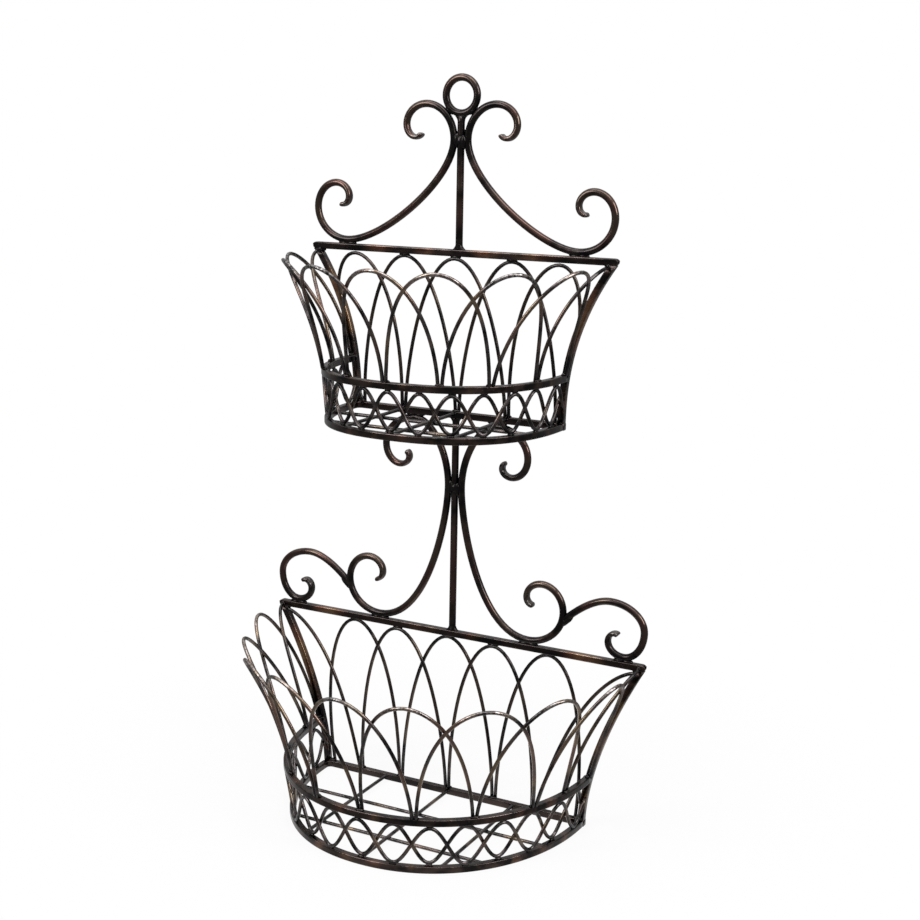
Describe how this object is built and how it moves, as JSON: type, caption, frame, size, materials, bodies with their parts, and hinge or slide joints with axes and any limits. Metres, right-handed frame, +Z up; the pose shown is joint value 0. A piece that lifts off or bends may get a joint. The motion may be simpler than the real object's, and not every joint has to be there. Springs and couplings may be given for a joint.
{
  "type": "two-tier wire planter",
  "caption": "Tiered half-moon planter of dark bronze wire: flared hoop baskets on a scrolled back frame, with a hanging ring on top, to hold plants against a wall.",
  "frame": {"origin": "middle of the underside of the lower basket's back bar, on the surface that the planter stands on", "axes": "+X along the back frame to the viewer's right, +Y out of the back towards the wall, +Z up"},
  "size_m": [0.3718, 0.1961, 0.6452],
  "materials": {
    "bar_finish": "antique bronze, semi-gloss, rubbed lighter on the edges",
    "rod_finish": "antique bronze, semi-gloss, rubbed lighter on the outside of the bends",
    "wire_finish": "antique bronze, semi-gloss, worn grey on the crowns of the hoops"
  },
  "bodies": {
    "root": {"lower_top_rail": "bar_finish", "lower_post_left": "bar_finish", "lower_post_right": "bar_finish", "lower_base_ring": "bar_finish", "lower_mid_band": "bar_finish", "lower_front_hoop_1": "wire_finish", "lower_front_hoop_2": "wire_finish", "lower_front_hoop_3": "wire_finish", "lower_front_hoop_4": "wire_finish", "lower_front_hoop_5": "wire_finish", "lower_front_hoop_6": "wire_finish", "lower_front_hoop_7": "wire_finish", "lower_front_hoop_8": "wire_finish", "lower_front_hoop_9": "wire_finish", "lower_front_half_hoop_left": "wire_finish", "lower_front_half_hoop_right": "wire_finish", "lower_back_hoop_1": "wire_finish", "lower_back_hoop_2": "wire_finish", "lower_back_hoop_3": "wire_finish", "lower_back_hoop_4": "wire_finish", "lower_back_hoop_5": "wire_finish", "lower_back_half_hoop_left": "wire_finish", "lower_back_half_hoop_right": "wire_finish", "lower_lattice_outer": "wire_finish", "lower_lattice_inner": "wire_finish", "lower_floor_grid": "wire_finish", "middle_stem": "rod_finish", "middle_scroll_left": "rod_finish", "middle_scroll_right": "rod_finish", "shoulder_scroll_left": "rod_finish", "shoulder_scroll_right": "rod_finish", "upper_top_rail": "bar_finish", "upper_post_left": "bar_finish", "upper_post_right": "bar_finish", "upper_base_ring": "bar_finish", "upper_mid_band": "bar_finish", "upper_front_hoop_1": "wire_finish", "upper_front_hoop_2": "wire_finish", "upper_front_hoop_3": "wire_finish", "upper_front_hoop_4": "wire_finish", "upper_front_hoop_5": "wire_finish", "upper_front_hoop_6": "wire_finish", "upper_front_hoop_7": "wire_finish", "upper_front_half_hoop_left": "wire_finish", "upper_front_half_hoop_right": "wire_finish", "upper_back_hoop_1": "wire_finish", "upper_back_hoop_2": "wire_finish", "upper_back_hoop_3": "wire_finish", "upper_back_cut_hoop_left": "wire_finish", "upper_back_cut_hoop_right": "wire_finish", "upper_lattice_outer": "wire_finish", "upper_lattice_inner": "wire_finish", "upper_floor_grid": "wire_finish", "crest_scroll_left": "rod_finish", "crest_scroll_right": "rod_finish", "hanging_ring": "rod_finish", "crest_stem": "rod_finish"}
  },
  "joints": []
}
